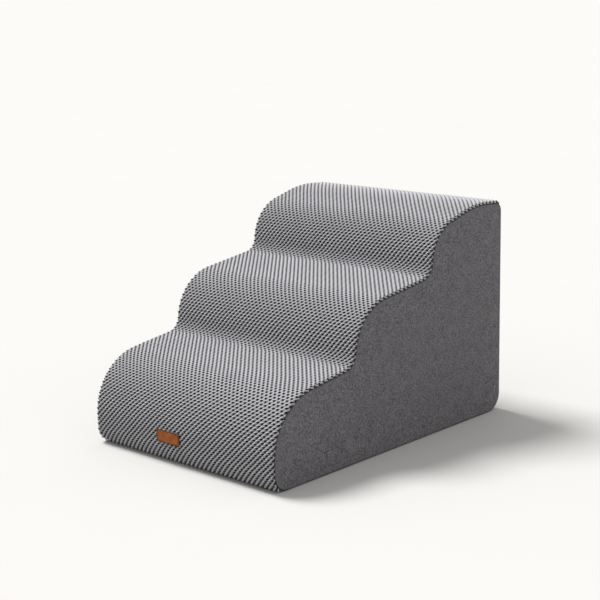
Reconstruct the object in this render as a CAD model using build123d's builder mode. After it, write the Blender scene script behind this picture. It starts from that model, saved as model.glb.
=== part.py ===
from build123d import *

import os
from math import cos, radians, sin, tan

# Pet stairs: a foam wedge with three wave-shaped steps in a sewn cover with a zip at the back.
# Millimetres. The floor is z = 0, +Z is up, the lowest step faces -Y and the back faces +Y.
# The origin is on the floor under the middle of the whole object.

# Stair outline, measured at the seam between the side panel and the knitted tread panel.
# Each step's depth and rise runs from crease to crease, and the top one's from the crown.
stairs_width = 400.0
top_step_depth = 194.5
middle_step_depth = 191.5
lower_step_depth = 183.0
lower_step_rise = 156.0
middle_step_rise = 110.0
top_step_rise = 101.5
crown_from_back = 71.0
top_back_fall = 4.5
top_fall_share = 0.26
tread_fall_share = 0.13
riser_lean_share = 0.11

# Corner rounding of the stair outline
back_foot_radius = 30.0
top_back_radius = 14.0
crown_radius = 200.0
top_nose_radius = 70.0
middle_nose_radius = 82.0
lower_nose_radius = 94.5
crease_radius = 27.0
front_foot_radius = 28.0
arc_wall_share = 0.99

# Cover fabrics
knit_thickness = 4.0
knit_edge_chamfer = 1.6
side_thickness = 2.0
side_edge_chamfer = 0.8
back_thickness = 1.5
base_thickness = 2.0
foot_seam_angle = 24.0
top_seam_angle = 45.0

# Grip dots printed under the base panel
dot_height = 1.0
dot_width = 12.0
dot_pitch = 70.0
dot_margin = 40.0

# Soft foam glued over the steps of the firm core
comfort_thickness = 20.0

# Leather tag on the front
tag_width = 52.0
tag_height = 20.0
tag_thickness = 1.6
tag_corner_radius = 4.0
tag_edge_chamfer = 0.4
tag_centre_x = -25.0
tag_centre_height = 44.0
stitch_length = 2.4
stitch_width = 0.8
stitch_height = 0.4
stitch_corner_chamfer = 0.25
stitch_pitch = 3.6
stitch_count = 4
stitch_inset = 3.2

# Zip chain: moulded teeth on two tapes behind the back panels
zip_height = 62.0
zip_side_margin = 35.0
zip_opening = 14.4
tape_thickness = 0.7
tape_half_width = 16.0
tooth_pitch = 4.2
tooth_thickness = 2.8
chain_half_width = 4.0
tooth_body_width = 2.8
tooth_neck_width = 1.3
tooth_head_width = 2.2
tooth_tip_width = 1.4
tooth_shoulder = 1.9
tooth_neck = 0.65
tooth_head = 0.5
tooth_tip = 1.3
tooth_slot_start = 2.3
stop_length = 3.6
stop_thickness = 4.4
stop_half_width = 4.4
stop_inner = 1.8
stop_edge_chamfer = 0.5

# Zip slider, a cast body with two plates, side flanges, a divider and a bridge
slider_length = 15.0
slider_plate = 1.1
slider_clearance = 0.3
slider_flange = 0.9
slider_rear_half_width = 5.25
slider_front_half_width = 6.7
slider_flare_start = 0.6
slider_flare_length = 4.0
slider_corner_radius = 1.2
slider_edge_chamfer = 0.35
slider_tape_slot = 1.4
slider_stop_gap = 0.3
divider_inset = 1.2
divider_length = 5.4
divider_width = 2.6
divider_shoulder_share = 0.6
bridge_length = 9.4
bridge_width = 2.2
bridge_height = 3.2
bridge_corner_radius = 1.3
bridge_window_length = 4.8
bridge_window_height = 2.1

# Pull tab, hung in the slider's bridge by its crossbar
pull_thickness = 1.3
pull_axis_height = 1.05
pull_length = 27.0
pull_eye_length = 6.4
pull_eye_half_gap = 1.5
pull_eye_half_width = 2.9
pull_half_width = 3.9
pull_shoulder_start = 8.0
pull_shoulder_length = 3.0
pull_corner_radius = 1.6
pull_hole_diameter = 3.0
pull_hole_inset = 4.4

# Room that the foam leaves behind the slider's inner plate
groove_clearance = 0.5

# One overrun serves every cut that runs out of a piece
overrun = 10.0

# Places that follow from the sizes above
half_width = stairs_width / 2
inner_half_width = half_width - side_thickness
stairs_depth = top_step_depth + middle_step_depth + lower_step_depth
upper_crease_height = lower_step_rise + middle_step_rise
crown_height = upper_crease_height + top_step_rise
channel_half_height = tooth_thickness / 2 + slider_clearance
plate_face = channel_half_height + slider_plate
zip_depth = back_thickness + tape_thickness / 2
zip_stand_off = plate_face + bridge_height - zip_depth
tag_stand_off = knit_thickness + tag_thickness + stitch_height
overall_depth = stairs_depth + tag_stand_off + zip_stand_off
back_y = overall_depth / 2 - zip_stand_off
front_y = back_y - stairs_depth
middle_y = (back_y + front_y) / 2
knit_front_y = front_y - knit_thickness
dot_columns = int((stairs_width - 2 * dot_margin) / dot_pitch) + 1
dot_rows = int((stairs_depth - 2 * dot_margin) / dot_pitch) + 1

# Places along the zip, from the middle of the back towards its closed end
zip_length = stairs_width - 2 * zip_side_margin
zip_end = zip_length / 2
slider_end = slider_length / 2
slider_centre = zip_end - slider_stop_gap - slider_end
slider_travel = zip_length - slider_length - 2 * slider_stop_gap
divider_front = slider_end - divider_inset
divider_rear = divider_front - divider_length
first_tooth = slider_centre + divider_rear - slider_clearance - tooth_body_width / 2
last_tooth_limit = slider_clearance + tooth_body_width / 2 - zip_end
tooth_count = int((first_tooth - tooth_pitch / 2 - last_tooth_limit) / tooth_pitch) + 1
tooth_row_centre = first_tooth - (tooth_count - 1) * tooth_pitch / 2

# The zip is drawn as it is seen from behind, in the middle of the tapes' thickness
zip_plane = Plane(
    origin=(0, back_y - zip_depth, zip_height), x_dir=(-1, 0, 0), z_dir=(0, 1, 0)
)
slider_plane = Plane(
    origin=(-slider_centre, back_y - zip_depth, zip_height), x_dir=(-1, 0, 0), z_dir=(0, 1, 0)
)
pull_plane = slider_plane.offset(plate_face + pull_axis_height)
tag_plane = Plane(
    origin=(tag_centre_x, knit_front_y, tag_centre_height), x_dir=(1, 0, 0), z_dir=(0, -1, 0)
)


def stair_walls(step_shift, back_shift, base_shift):
    """Straight walls of the outline as point, direction and shift, each moved outwards."""
    crown = Vector(back_y - crown_from_back, crown_height)
    upper_crease = Vector(back_y - top_step_depth, upper_crease_height)
    lower_crease = Vector(front_y + lower_step_depth, lower_step_rise)
    tread = Vector(-1, -tread_fall_share)
    riser = Vector(-riser_lean_share, -1)
    walls = [
        (Vector(back_y, 0), Vector(0, 1), back_shift),
        (crown, Vector(-crown_from_back, top_back_fall), step_shift),
        (crown, Vector(-1, -top_fall_share), step_shift),
        (upper_crease, riser, step_shift),
        (upper_crease, tread, step_shift),
        (lower_crease, riser, step_shift),
        (lower_crease, tread, step_shift),
        (Vector(front_y, 0), Vector(0, -1), step_shift),
        (Vector(front_y, 0), Vector(1, 0), base_shift),
    ]
    moved = []
    for point, direction, shift in walls:
        along = direction.normalized()
        outward = Vector(along.Y, -along.X)
        moved.append((point + outward * shift, along, shift))
    return moved


def meeting_point(wall, next_wall):
    """Point where two walls cross."""
    start, along, _ = wall
    next_start, next_along, _ = next_wall
    reach = (next_start - start).cross(next_along).Z / along.cross(next_along).Z
    return start + along * reach


def real_radii():
    """Corner radii of the real outline, each no larger than its two walls have room for."""
    radii = [
        top_back_radius,
        crown_radius,
        top_nose_radius,
        crease_radius,
        middle_nose_radius,
        crease_radius,
        lower_nose_radius,
        front_foot_radius,
        back_foot_radius,
    ]
    walls = stair_walls(0, 0, 0)
    corners = []
    reaches = []
    for number, radius in enumerate(radii):
        next_wall = walls[(number + 1) % len(walls)]
        turn = radians(walls[number][1].get_angle(next_wall[1]))
        corners.append(meeting_point(walls[number], next_wall))
        reaches.append(radius * tan(turn / 2))
    rooms = []
    for number, corner in enumerate(corners):
        wall_length = (corner - corners[number - 1]).length
        rooms.append(arc_wall_share * wall_length / (reaches[number - 1] + reaches[number]))
    fitted = []
    for number, radius in enumerate(radii):
        next_room = rooms[(number + 1) % len(rooms)]
        fitted.append(radius * min(1, rooms[number], next_room))
    return fitted


def stair_outline(step_shift, back_shift, base_shift):
    """Corners and corner radii of the outline, parallel to the real one when it is shifted."""
    walls = stair_walls(step_shift, back_shift, base_shift)
    corners = []
    radii = []
    for number, radius in enumerate(real_radii()):
        wall = walls[number]
        next_wall = walls[(number + 1) % len(walls)]
        growth = (wall[2] + next_wall[2]) / 2
        is_hollow = wall[1].cross(next_wall[1]).Z < 0
        corners.append(meeting_point(wall, next_wall))
        radii.append(radius - growth if is_hollow else radius + growth)
    return corners, radii


def arc_centre(corner_number, radius):
    """Centre of a corner's arc on the real outline."""
    shrunk_corners, _ = stair_outline(-radius, -radius, -radius)
    return shrunk_corners[corner_number]


def seam_ray(centre, angle_from_down):
    """Point far outside the outline, at an angle from straight down at an arc's centre."""
    angle = radians(angle_from_down)
    return centre + Vector(sin(angle), -cos(angle)) * stairs_depth


def both_sides(half_outline):
    """A half outline above the middle line, closed by its mirror image below."""
    return half_outline + [(along, -across) for along, across in reversed(half_outline)]


# Seams between the cover's panels, each across the arc of a corner
top_back_centre = arc_centre(0, top_back_radius)
front_foot_centre = arc_centre(7, front_foot_radius)
back_foot_centre = arc_centre(8, back_foot_radius)
back_region = [
    top_back_centre,
    seam_ray(top_back_centre, 180 - top_seam_angle),
    seam_ray(back_foot_centre, foot_seam_angle),
    back_foot_centre,
]
base_region = [
    back_foot_centre,
    seam_ray(back_foot_centre, foot_seam_angle),
    seam_ray(front_foot_centre, -foot_seam_angle),
    front_foot_centre,
]

# Outlines of the cover's outside, of its inside, and of the firm core under the soft foam
base_inside = -dot_height - base_thickness
outer_corners, outer_radii = stair_outline(knit_thickness, 0, -dot_height)
inner_corners, inner_radii = stair_outline(0, -back_thickness, base_inside)
core_corners, core_radii = stair_outline(-comfort_thickness, -back_thickness, base_inside)

# The strip that the tread panel, back panels and base panel are cut from
with BuildSketch(Plane.YZ) as cover_strip:
    with BuildLine():
        FilletPolyline(*outer_corners, radius=outer_radii, close=True)
    make_face()
    with BuildLine():
        FilletPolyline(*inner_corners, radius=inner_radii, close=True)
    make_face(mode=Mode.SUBTRACT)

# Firm foam core with the groove that takes the zip tapes and the slider's inner plate
with BuildPart() as foam_core:
    with BuildSketch(Plane.YZ):
        with BuildLine():
            FilletPolyline(*core_corners, radius=core_radii, close=True)
        make_face()
    extrude(amount=inner_half_width, both=True)
    with BuildSketch(zip_plane.offset(-tape_thickness / 2)):
        Rectangle(stairs_width, 2 * tape_half_width)
    extrude(amount=overrun, mode=Mode.SUBTRACT)
    with BuildSketch(zip_plane.offset(-plate_face - groove_clearance)):
        Rectangle(stairs_width, zip_opening)
    extrude(amount=overrun, mode=Mode.SUBTRACT)

# Soft comfort foam glued over the treads, noses and risers of the core
with BuildPart() as comfort_layer:
    with BuildSketch(Plane.YZ):
        with BuildLine():
            FilletPolyline(*inner_corners, radius=inner_radii, close=True)
        make_face()
        with BuildLine():
            FilletPolyline(*core_corners, radius=core_radii, close=True)
        make_face(mode=Mode.SUBTRACT)
    extrude(amount=inner_half_width, both=True)

# Knitted tread panel, from the front foot over the three steps to the top of the back
with BuildPart() as tread_panel:
    with BuildSketch(Plane.YZ):
        with BuildLine():
            FilletPolyline(*outer_corners, radius=outer_radii, close=True)
        make_face()
    extrude(amount=half_width, both=True)
    chamfer(tread_panel.faces().filter_by(Axis.X).edges(), length=knit_edge_chamfer)
    with BuildSketch(Plane.YZ):
        with BuildLine():
            FilletPolyline(*inner_corners, radius=inner_radii, close=True)
        make_face()
        for region in (back_region, base_region):
            with BuildLine():
                Polyline(*region, close=True)
            make_face()
    extrude(amount=stairs_width, both=True, mode=Mode.SUBTRACT)

# Base panel of dark non-slip cloth, with its printed grip dots
with BuildPart() as base_panel:
    with BuildSketch(Plane.YZ):
        add(cover_strip.sketch_local)
        with BuildLine():
            Polyline(*base_region, close=True)
        make_face(mode=Mode.INTERSECT)
    extrude(amount=half_width, both=True)
    with BuildSketch(Plane.XY):
        with Locations((0, middle_y)):
            with GridLocations(dot_pitch, dot_pitch, dot_columns, dot_rows):
                RegularPolygon(radius=dot_width / 2, side_count=6)
    extrude(amount=dot_height + base_thickness / 2)

# Back panel above the zip opening
with BuildPart() as back_panel_upper:
    with BuildSketch(Plane.YZ):
        add(cover_strip.sketch_local)
        with BuildLine():
            Polyline(*back_region, close=True)
        make_face(mode=Mode.INTERSECT)
        with Locations((back_y, zip_height + zip_opening / 2)):
            Rectangle(
                stairs_depth, stairs_depth, align=(Align.CENTER, Align.MAX), mode=Mode.SUBTRACT
            )
    extrude(amount=half_width, both=True)

# Back panel below the zip opening, round the foot to the base panel
with BuildPart() as back_panel_lower:
    with BuildSketch(Plane.YZ):
        add(cover_strip.sketch_local)
        with BuildLine():
            Polyline(*back_region, close=True)
        make_face(mode=Mode.INTERSECT)
        with Locations((back_y, zip_height - zip_opening / 2)):
            Rectangle(
                stairs_depth, stairs_depth, align=(Align.CENTER, Align.MIN), mode=Mode.SUBTRACT
            )
    extrude(amount=half_width, both=True)

# Side panels of plain woven cloth, inside the strip, with an eased outer edge
with BuildPart() as side_panel_right:
    with BuildSketch(Plane.YZ.offset(inner_half_width)):
        with BuildLine():
            FilletPolyline(*inner_corners, radius=inner_radii, close=True)
        make_face()
    extrude(amount=side_thickness)
    chamfer(side_panel_right.faces().sort_by(Axis.X)[-1].edges(), length=side_edge_chamfer)

with BuildPart() as side_panel_left:
    add(side_panel_right.part)
    mirror(about=Plane.YZ, mode=Mode.REPLACE)

# Leather tag sewn on the front, bare, with a bevelled edge
with BuildPart() as leather_tag:
    with BuildSketch(tag_plane):
        RectangleRounded(tag_width, tag_height, tag_corner_radius)
    extrude(amount=tag_thickness)
    chamfer(leather_tag.faces().sort_by(Axis.Y)[0].edges(), length=tag_edge_chamfer)

# Stitches along both ends of the tag
with BuildPart() as tag_stitches:
    with BuildSketch(tag_plane.offset(tag_thickness)) as stitch_plan:
        with GridLocations(tag_width - 2 * stitch_inset, stitch_pitch, 2, stitch_count):
            Rectangle(stitch_width, stitch_length)
        chamfer(stitch_plan.vertices(), length=stitch_corner_chamfer)
    extrude(amount=stitch_height)

# Zip tapes, sewn flat behind the edges of the back panels
tape_width = tape_half_width - tooth_slot_start
with BuildPart() as zip_tape_upper:
    with BuildSketch(zip_plane):
        with Locations((0, tooth_slot_start)):
            Rectangle(2 * inner_half_width, tape_width, align=(Align.CENTER, Align.MIN))
    extrude(amount=tape_thickness / 2, both=True)

with BuildPart() as zip_tape_lower:
    with BuildSketch(zip_plane):
        with Locations((0, -tooth_slot_start)):
            Rectangle(2 * inner_half_width, tape_width, align=(Align.CENTER, Align.MAX))
    extrude(amount=tape_thickness / 2, both=True)

# Outline of a moulded tooth on the upper tape: head past the middle, neck, body on the tape
upper_tooth = [
    (-tooth_body_width / 2, chain_half_width),
    (-tooth_body_width / 2, tooth_shoulder),
    (-tooth_neck_width / 2, tooth_neck),
    (-tooth_head_width / 2, -tooth_head),
    (-tooth_tip_width / 2, -tooth_tip),
    (tooth_tip_width / 2, -tooth_tip),
    (tooth_head_width / 2, -tooth_head),
    (tooth_neck_width / 2, tooth_neck),
    (tooth_body_width / 2, tooth_shoulder),
    (tooth_body_width / 2, chain_half_width),
]
lower_tooth = [(along, -across) for along, across in reversed(upper_tooth)]

# Upper row of teeth, each with the slot that grips the tape's edge
with BuildPart() as zip_teeth_upper:
    with BuildSketch(zip_plane):
        with Locations((tooth_row_centre, 0)):
            with GridLocations(tooth_pitch, 0, tooth_count, 1):
                Polygon(*upper_tooth, align=None)
    extrude(amount=tooth_thickness / 2, both=True)
    add(zip_tape_upper.part, mode=Mode.SUBTRACT)

# Lower row of teeth, half a pitch along, so that each head sits between two necks
with BuildPart() as zip_teeth_lower:
    with BuildSketch(zip_plane):
        with Locations((tooth_row_centre - tooth_pitch / 2, 0)):
            with GridLocations(tooth_pitch, 0, tooth_count, 1):
                Polygon(*lower_tooth, align=None)
    extrude(amount=tooth_thickness / 2, both=True)
    add(zip_tape_lower.part, mode=Mode.SUBTRACT)

# Pair of top stops, one clamped on each tape's edge in front of the closed slider
with BuildPart() as zip_top_stops:
    with BuildSketch(zip_plane):
        with Locations((zip_end, stop_inner)):
            Rectangle(stop_length, stop_half_width - stop_inner, align=(Align.MIN, Align.MIN))
        mirror(about=Plane.XZ)
    extrude(amount=stop_thickness / 2, both=True)
    chamfer(zip_top_stops.edges().filter_by(Axis.X), length=stop_edge_chamfer)
    add(zip_tape_upper.part, mode=Mode.SUBTRACT)
    add(zip_tape_lower.part, mode=Mode.SUBTRACT)

# Bottom stop, clamped across both tapes at the open end
with BuildPart() as zip_bottom_stop:
    with BuildSketch(zip_plane):
        with Locations((-zip_end, 0)):
            Rectangle(stop_length, 2 * stop_half_width, align=(Align.MAX, Align.CENTER))
    extrude(amount=stop_thickness / 2, both=True)
    chamfer(zip_bottom_stop.edges().filter_by(Axis.X), length=stop_edge_chamfer)
    add(zip_tape_upper.part, mode=Mode.SUBTRACT)
    add(zip_tape_lower.part, mode=Mode.SUBTRACT)

# Half outlines of the slider, narrow behind and flared to two mouths in front
flare_end = slider_flare_start + slider_flare_length
slider_outline = [
    (-slider_end, slider_rear_half_width),
    (slider_flare_start, slider_rear_half_width),
    (flare_end, slider_front_half_width),
    (slider_end, slider_front_half_width),
]
channel_outline = [
    (-slider_end - overrun, slider_rear_half_width - slider_flange),
    (slider_flare_start, slider_rear_half_width - slider_flange),
    (flare_end, slider_front_half_width - slider_flange),
    (slider_end + overrun, slider_front_half_width - slider_flange),
]
divider_outline = [
    (divider_rear, divider_width / 8),
    (divider_rear + divider_length * divider_shoulder_share, divider_width / 2),
    (divider_front, divider_width / 4),
]
bridge_plane = Plane(slider_plane.origin, x_dir=(-1, 0, 0), z_dir=(0, 0, -1))

# Zip slider: plates, flanges with slots for the tapes, divider, and the bridge for the pull
with BuildPart() as zip_slider:
    with BuildSketch(slider_plane) as slider_plan:
        Polygon(*both_sides(slider_outline), align=None)
        rows_of_corners = slider_plan.vertices().group_by(Axis.X)
        fillet(rows_of_corners[0] + rows_of_corners[-1], radius=slider_corner_radius)
    extrude(amount=plate_face, both=True)
    outer_faces = zip_slider.faces().filter_by(Axis.Y)
    chamfer(outer_faces.edges(), length=slider_edge_chamfer)
    with BuildSketch(slider_plane):
        Polygon(*both_sides(channel_outline), align=None)
    extrude(amount=channel_half_height, both=True, mode=Mode.SUBTRACT)
    with BuildSketch(slider_plane):
        Rectangle(slider_length + overrun, 2 * slider_front_half_width + overrun)
    extrude(amount=slider_tape_slot / 2, both=True, mode=Mode.SUBTRACT)
    with BuildSketch(slider_plane):
        Polygon(*both_sides(divider_outline), align=None)
    extrude(amount=channel_half_height, both=True)
    with BuildSketch(bridge_plane) as bridge_side:
        with Locations((0, plate_face)):
            Rectangle(bridge_length, bridge_height, align=(Align.CENTER, Align.MIN))
        fillet(bridge_side.vertices().group_by(Axis.Y)[-1], radius=bridge_corner_radius)
        with Locations((0, plate_face)):
            Rectangle(
                bridge_window_length,
                bridge_window_height,
                align=(Align.CENTER, Align.MIN),
                mode=Mode.SUBTRACT,
            )
    extrude(amount=bridge_width / 2, both=True)

# Pull tab at rest along the closed chain, with its eye round the bridge
pull_outline = [
    (0, pull_eye_half_width),
    (-pull_shoulder_start, pull_eye_half_width),
    (-pull_shoulder_start - pull_shoulder_length, pull_half_width),
    (-pull_length, pull_half_width),
]
with BuildPart() as zip_pull_tab:
    with BuildSketch(pull_plane) as pull_plan:
        Polygon(*both_sides(pull_outline), align=None)
        fillet(pull_plan.vertices().group_by(Axis.X)[0], radius=pull_corner_radius)
        Rectangle(
            pull_eye_length,
            2 * pull_eye_half_gap,
            align=(Align.MAX, Align.CENTER),
            mode=Mode.SUBTRACT,
        )
        with Locations((pull_hole_inset - pull_length, 0)):
            Circle(pull_hole_diameter / 2, mode=Mode.SUBTRACT)
    extrude(amount=pull_thickness / 2, both=True)
    with BuildSketch(Plane(pull_plane.origin, x_dir=(-1, 0, 0), z_dir=(0, 0, -1))):
        Circle(pull_thickness / 2)
    extrude(amount=pull_eye_half_width, both=True)

parts = {
    "foam_core": foam_core,
    "comfort_layer": comfort_layer,
    "tread_panel": tread_panel,
    "side_panel_left": side_panel_left,
    "side_panel_right": side_panel_right,
    "back_panel_upper": back_panel_upper,
    "back_panel_lower": back_panel_lower,
    "base_panel": base_panel,
    "leather_tag": leather_tag,
    "tag_stitches": tag_stitches,
    "zip_tape_upper": zip_tape_upper,
    "zip_tape_lower": zip_tape_lower,
    "zip_teeth_upper": zip_teeth_upper,
    "zip_teeth_lower": zip_teeth_lower,
    "zip_top_stops": zip_top_stops,
    "zip_bottom_stop": zip_bottom_stop,
    "zip_slider": zip_slider,
    "zip_pull_tab": zip_pull_tab,
}
os.makedirs("parts", exist_ok=True)
for name, builder in parts.items():
    builder.part.label = name
    export_step(builder.part, f"parts/{name}.step")

pull_axis = pull_plane.origin
print("slider travel", slider_travel, "teeth in a row", tooth_count)
print("pull axis", pull_axis.X, pull_axis.Y, pull_axis.Z)
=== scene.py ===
import math

import bmesh
import bpy
import numpy as np
from bpy.props import FloatProperty, FloatVectorProperty, IntProperty, PointerProperty
from mathutils import Matrix, Vector


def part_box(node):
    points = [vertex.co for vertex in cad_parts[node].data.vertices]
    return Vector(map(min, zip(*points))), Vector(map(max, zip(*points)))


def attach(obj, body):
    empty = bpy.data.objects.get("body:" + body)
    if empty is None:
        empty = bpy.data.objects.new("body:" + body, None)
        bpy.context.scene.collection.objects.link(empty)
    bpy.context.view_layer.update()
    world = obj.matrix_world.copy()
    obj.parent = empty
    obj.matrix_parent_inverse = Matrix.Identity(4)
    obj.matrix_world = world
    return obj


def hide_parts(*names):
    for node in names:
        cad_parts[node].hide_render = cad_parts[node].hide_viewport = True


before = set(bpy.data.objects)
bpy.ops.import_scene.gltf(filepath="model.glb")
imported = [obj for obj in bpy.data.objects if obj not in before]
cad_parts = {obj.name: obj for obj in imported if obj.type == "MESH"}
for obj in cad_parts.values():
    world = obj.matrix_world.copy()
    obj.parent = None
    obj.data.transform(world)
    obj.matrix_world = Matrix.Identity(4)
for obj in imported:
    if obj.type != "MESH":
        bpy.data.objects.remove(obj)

bl_info = {
    "name": "Pet Stairs",
    "version": (1, 0, 0),
    "blender": (4, 5, 0),
    "location": "View3D > Sidebar > Stairs",
    "description": "Dresses foam pet stairs in a knitted tread cover, woven sides, a leather tag and a zip",
    "category": "Object",
}

# The cover's seam line seen from the side: place along Y, height and corner radius, in metres.
# It starts at the top of the back, runs forwards over the steps and returns along the floor.
SEAM_CORNERS = (
    (0.285425, 0.363000, 0.0140),
    (0.214425, 0.367500, 0.2000),
    (0.098783, 0.337433, 0.0700),
    (0.090925, 0.266000, 0.0270),
    (-0.091078, 0.242340, 0.0820),
    (-0.100575, 0.156000, 0.0270),
    (-0.283575, 0.132210, 0.0945),
    (-0.283575, 0.000000, 0.0280),
    (0.285425, 0.000000, 0.0300),
)
# Its rows at the front foot and at the back foot
FRONT_FOOT = 7
BACK_FOOT = 8
# How far round its corner each seam lies, and how far a cloth's edge rolls into a side seam
TOP_SEAM_TURN = math.radians(45)
FRONT_SEAM_TURN = math.radians(66)
BACK_SEAM_TURN = math.radians(24)
ROLL_TURN = math.radians(96)
HALF_WIDTH = 0.2
MIDDLE_HEIGHT = 0.2
ZIP_HEIGHT = 0.062
ZIP_OPENING = 0.0144
# The cloth map's name, the share of it that the knit's face takes, and the lining's strip above it
CLOTH_MAP = "OFBake"
KNIT_SHARE = 0.98
LINING_LOW = 0.985
LINING_HIGH = 0.995
# The cloth simulation's last frame, and how near a seam a point is held
LAST_FRAME = 20
HELD_WIDTH = 0.002
# The foams: the soft layer's depth, their gaps to the cover and to each other, and their lowest place
SOFT_FOAM_DEPTH = 0.020
FOAM_GAP = 0.0004
FOAM_BASE_GAP = 0.0035
FOAM_BACK_GAP = 0.006
FOAM_LIFT = 0.0031
FOAM_HALF_WIDTH = 0.1976
# The faces of the knit's net to a repeat, and how round its grains are
KNIT_NET = 6
PLUMPNESS = 0.5
# At the knit's ends: the rows over which its relief fades, the share left and the thickness there
END_ROWS = 1.6
END_RELIEF = 0.35
END_THICKNESS = 0.0012
# Where the knit's pits start and end between cords: dark yarn there, and painted shade on the grains'
# flanks
PIT_START = 0.08
PIT_END = 0.36
PIT_WIDTH_POWER = 1.5
PIT_HEIGHT_POWER = 0.9
# How dark the painted shade in the grooves and at the waists gets, and how narrow
GROOVE_PAINTED_SHADE = 0.85
GROOVE_POWER = 2.8
WAIST_PAINTED_SHADE = 0.38
WAIST_POWER = 2.2
# How far the knit's columns and rows lean at distances along the seam line, in metres and degrees
COLUMN_LEANS = ((0.47, 0.0), (0.54, -3.0), (0.60, -3.0), (0.66, 7.0))
ROW_LEANS = ((0.58, 0.0), (0.62, 0.9), (0.66, 2.9), (0.70, 3.8))
# The melange's threads to a metre, and how fine its slubs are across and along their thread
WEAVE_SCALE = 900.0
SLUB_ACROSS = 640.0
SLUB_ALONG = 190.0
# Thicknesses of the back's and the base's cloth, how far the base's stands in, and its dots' field
BACK_THICKNESS = 0.0013
BASE_THICKNESS = 0.0015
BASE_SINK = 0.001
DOT_FIELD = (0.36, 0.50)
# The side cloth's gap to the seam line, the turns and steps of its edge, and the axes that its net
# is cut along, each from one place to another
SIDE_GAP = 0.0003
SIDE_ROLL_DEGREES = (25, 50, 72, 90)
SIDE_MARGINS = (0.0032, 0.0048)
SIDE_CUTS = ((1, -0.28, 0.28), (2, 0.01, 0.36))
# The tag's front, ring by ring: width, rise and material
TAG_RINGS = (
    (0.0007, 0.0, 1), (0.0004, -0.0002, 1), (0.0004, 0.0002, 0), (0.0008, 0.0001, 0), (0.0009, 0.0, 0)
)
# Stitches, each by half its size along X, Y and Z, and where they lie
TAG_THREAD = (0.00045, 0.00045, 0.0013)
TAG_THREADS = 4
TAG_ROW_END = 0.0012
ZIP_THREAD = (0.00135, 0.0004, 0.00035)
ZIP_ROW = 0.386
ZIP_ROW_GAP = 0.0035
TACK_THREAD = (0.0014, 0.0006, 0.00036)
TACK_THREADS = 24
TACK_PITCH = 0.00058
TACK_PLACE = 0.1855
# The camera's lens, its place and aim in the part's own frame, and the width of the key light
CAMERA_LENS = 86.74
CAMERA_PLACE = (1.5963396, -1.7265279, 0.7386593)
CAMERA_TURN = 0.748076525
CAMERA_DIP = 0.218414257
CAMERA_ROLL = -0.01957919
KEY_SPREAD = math.radians(24)


def length(name, description, default):
    """A length that a user can change, in metres."""
    return FloatProperty(name=name, description=description, default=default, unit="LENGTH")


def amount(name, description, default):
    """A plain number that a user can change."""
    return FloatProperty(name=name, description=description, default=default)


def tint(name, description, default):
    """A colour that a user can change."""
    return FloatVectorProperty(name=name, description=description, default=default, subtype="COLOR")


class StairsKnitSettings(bpy.types.PropertyGroup):
    columns: IntProperty(name="Columns", description="Knit repeats across the cover", default=46, min=4)
    rows: IntProperty(name="Rows", description="Knit rows from the top seam to the front foot", default=155)
    thickness: length("Thickness", "Thickness of the knit", 0.004)
    pit_depth: length("Pit Depth", "Depth of the pits between cords", 0.0047)
    groove_depth: length("Groove", "Depth of the groove between cords", 0.0026)
    waist_depth: length("Waist", "How far a cord dips between two grains", 0.0028)
    crown: length("Crown", "How far the grains stand over the cloth", 0.0010)
    cord_lean: amount("Cord Lean", "How much gentler a cord falls on its right side", 0.35)
    edge_roll: length("Edge Roll", "Radius of the roll at the side seams", 0.0036)
    yarn: tint("Yarn", "Colour of the light yarn", (0.73, 0.725, 0.76))
    yarn_shade: tint("Yarn Shade", "Darker flecks in the yarn", (0.56, 0.56, 0.59))
    # Near-black yarn seen in the pits, also painted as shade in the grooves and at the waists
    ground_and_shade: tint("Ground", "Colour of the ground seen in the pits", (0.002, 0.002, 0.0025))


class StairsClothSettings(bpy.types.PropertyGroup):
    thickness: length("Thickness", "Thickness of the side cloth", 0.0012)
    edge_roll: length("Edge Roll", "Radius of the cloth's roll into a seam", 0.0030)
    net: length("Net", "Size of the cloth's mesh", 0.007)
    dark: tint("Dark Thread", "Darker thread of the melange", (0.118, 0.111, 0.121))
    light: tint("Light Thread", "Lighter thread of the melange", (0.345, 0.332, 0.351))
    # The seam colour is painted shade along the seams, where the cloth rolls into them
    seam: tint("Seam", "Colour in the shade of a seam", (0.016, 0.015, 0.017))
    seam_width: length("Seam Width", "Width of the shaded line along a seam", 0.0019)
    hem_width: length("Hem Width", "How far puckers reach from a seam", 0.011)
    pucker_pitch: length("Pucker Pitch", "Distance between two puckers along a seam", 0.011)
    pressure: amount("Pressure", "How hard the foam presses the cloth out", 4.0)
    slack: amount("Slack", "Share of extra length in the cloth beside a seam", 0.03)
    slack_width: length("Slack Width", "How far the slack reaches", 0.03)
    swell: length("Swell", "Most that the cloth stands out", 0.003)
    base: tint("Base Cloth", "Colour of the cloth underneath", (0.020, 0.020, 0.021))
    dot_pitch: length("Dot Pitch", "Distance between grip dots", 0.014)
    dot_radius: length("Dot Radius", "Radius of a grip dot", 0.0017)
    dot_height: length("Dot Height", "Height of a grip dot", 0.0011)


class StairsTagSettings(bpy.types.PropertyGroup):
    corner: length("Corner", "Radius of the tag's corners", 0.004)
    leather: tint("Leather", "Colour of the tag", (0.41, 0.108, 0.012))
    burnished: tint("Burnished Edge", "Colour of the tag's edge", (0.085, 0.030, 0.012))


class StairsZipSettings(bpy.types.PropertyGroup):
    tape: tint("Tape", "Colour of the zip's tapes", (0.045, 0.043, 0.046))
    resin: tint("Teeth", "Colour of the moulded teeth", (0.050, 0.050, 0.053))
    metal: tint("Slider", "Colour of the lacquered slider", (0.055, 0.055, 0.060))
    tape_close: length("Tape Close", "Length over which the tapes draw together", 0.009)
    stitch_pitch: length("Stitch Pitch", "Distance between two stitches", 0.0034)


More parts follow.
